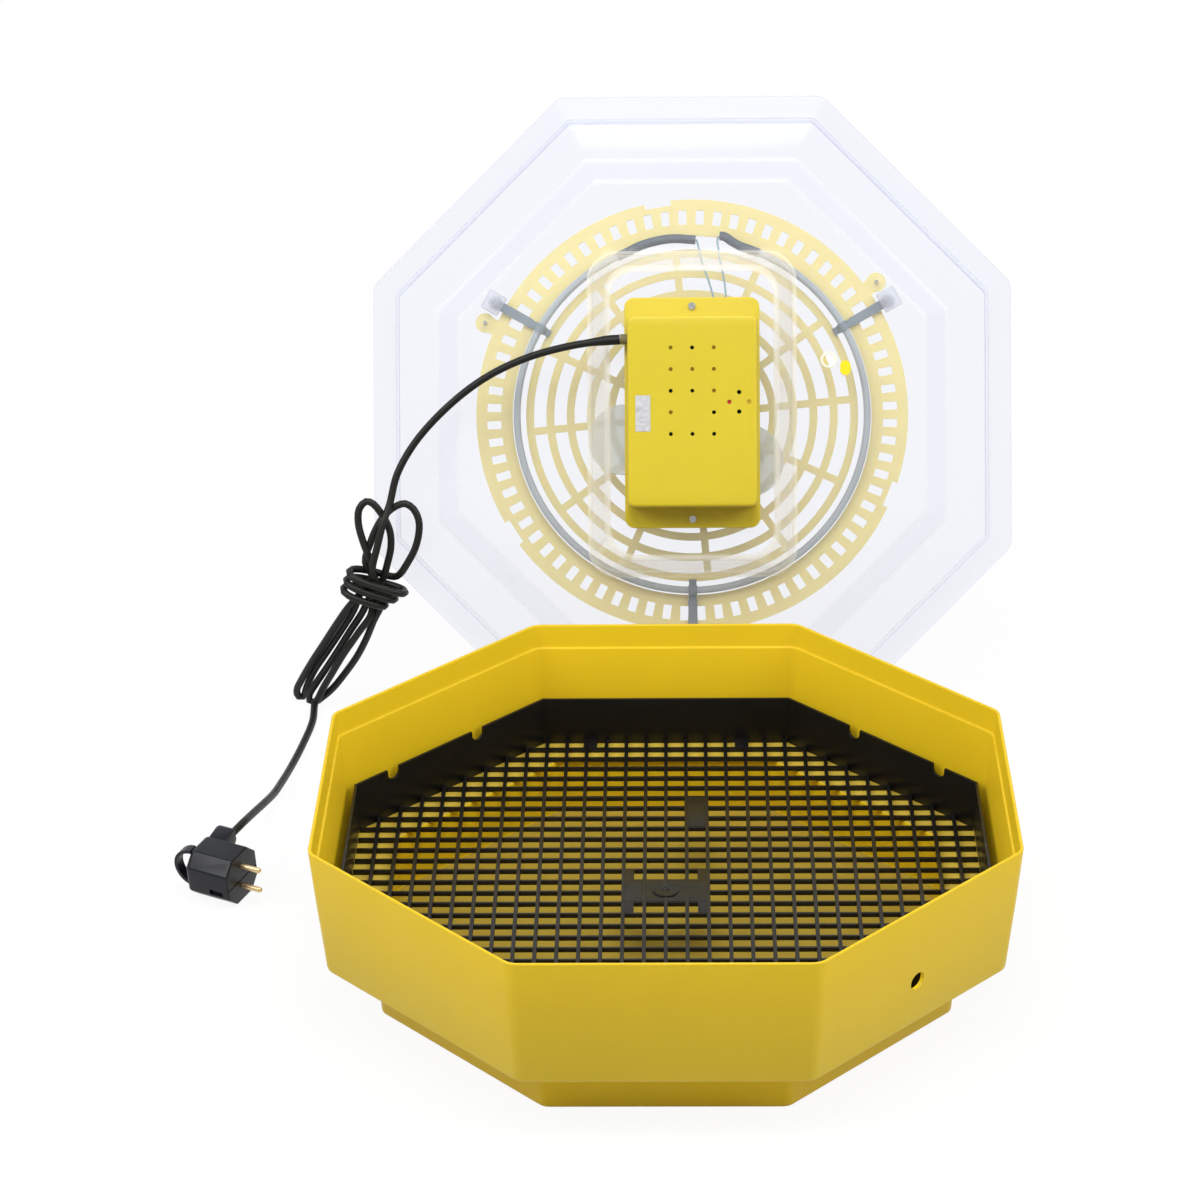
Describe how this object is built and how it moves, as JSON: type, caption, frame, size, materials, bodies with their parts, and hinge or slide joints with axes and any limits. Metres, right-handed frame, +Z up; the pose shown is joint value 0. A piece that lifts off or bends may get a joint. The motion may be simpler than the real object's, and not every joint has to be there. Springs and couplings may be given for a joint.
{
  "type": "egg incubator",
  "caption": "Octagonal egg incubator tub with a lift-out grid tray; its clear fan and heater lid stands behind, with a tied mains cord.",
  "frame": {"origin": "on the floor under the centre of the tub", "axes": "+X to the right and +Y to the back as the tub is used, +Z up; the lid stands behind the tub, towards +Y"},
  "size_m": [0.7385, 0.9182, 0.5296],
  "materials": {
    "amber_guard": "translucent",
    "amber_lens": "clear lens",
    "black_base": "fine grain",
    "black_cord": "matte",
    "black_plug": "satin moulded",
    "black_rubber": "matte",
    "black_tray": "satin moulded",
    "blue_lead": "smooth sleeve",
    "blue_plastic": "moulded",
    "brass_pin": "bright",
    "bronze": "sintered",
    "clear_lid": "clear, polished",
    "clear_spacer": "clear",
    "dark_plastic": "moulded",
    "green_board": "solder mask",
    "green_plastic": "moulded",
    "grey_arms": "moulded",
    "heater_metal": "heat dulled",
    "olive_gland": "moulded",
    "pale_fan": "translucent",
    "pale_trim": "smooth",
    "red_lens": "clear lens",
    "silver_plate": "satin foil",
    "steel": "ground",
    "yellow_box": "satin moulded",
    "yellow_shell": "satin moulded",
    "yellow_trim": "smooth",
    "zinc": "zinc plated"
  },
  "bodies": {
    "tub": {"tub_wall": "yellow_shell", "tub_plinth": "yellow_shell", "cord_hank": "black_cord", "cord_tail": "black_cord", "plug_body": "black_plug", "plug_pins": "brass_pin", "plug_pull_loop": "black_plug"},
    "tray": {"tray_wall": "black_tray", "tray_grid": "black_tray"},
    "lid": {"lid_shell": "clear_lid", "vent_ring": "pale_trim", "box_base": "black_base", "box_cover": "yellow_box", "box_screws": "zinc", "blank_plate": "silver_plate", "cord_gland": "olive_gland", "circuit_board": "green_board", "board_posts": "pale_trim", "transformer": "dark_plastic", "relay": "blue_plastic", "terminal_block": "green_plastic", "lamp_red": "red_lens", "lamp_yellow": "amber_lens", "motor_plate": "zinc", "motor_screws": "zinc", "fan_motor": "zinc", "shaft_bush": "bronze", "guard_ring": "amber_guard", "guard_grille": "amber_guard", "guard_arms": "grey_arms", "arm_spacers": "clear_spacer", "guard_screws": "zinc", "heater_ring": "heater_metal", "heater_clips": "grey_arms", "heater_sleeves": "dark_plastic", "heater_leads": "blue_lead", "wire_grommet": "black_rubber", "temperature_sensor": "steel", "mains_cord": "black_cord"},
    "fan": {"fan_shaft": "steel", "fan_wheel": "pale_fan"},
    "vent_stopper": {"vent_plug": "yellow_trim"}
  },
  "joints": [
    {"name": "tray_lift", "type": "slide", "parent": "tub", "child": "tray", "axis": [0, 0, 1], "range_m": [0, 0.15]},
    {"name": "lid_lift", "type": "slide", "parent": "tub", "child": "lid", "axis": [0, 0.4384, 0.8988], "range_m": [0, 0.15]},
    {"name": "fan_spin", "type": "hinge", "parent": "lid", "child": "fan", "pos_m": [0.025, 0.48591, 0.27301], "axis": [0, -0.8988, 0.4384], "continuous": true},
    {"name": "vent_pull", "type": "slide", "parent": "lid", "child": "vent_stopper", "axis": [0, -0.8988, 0.4384], "range_m": [0, 0.03]}
  ]
}
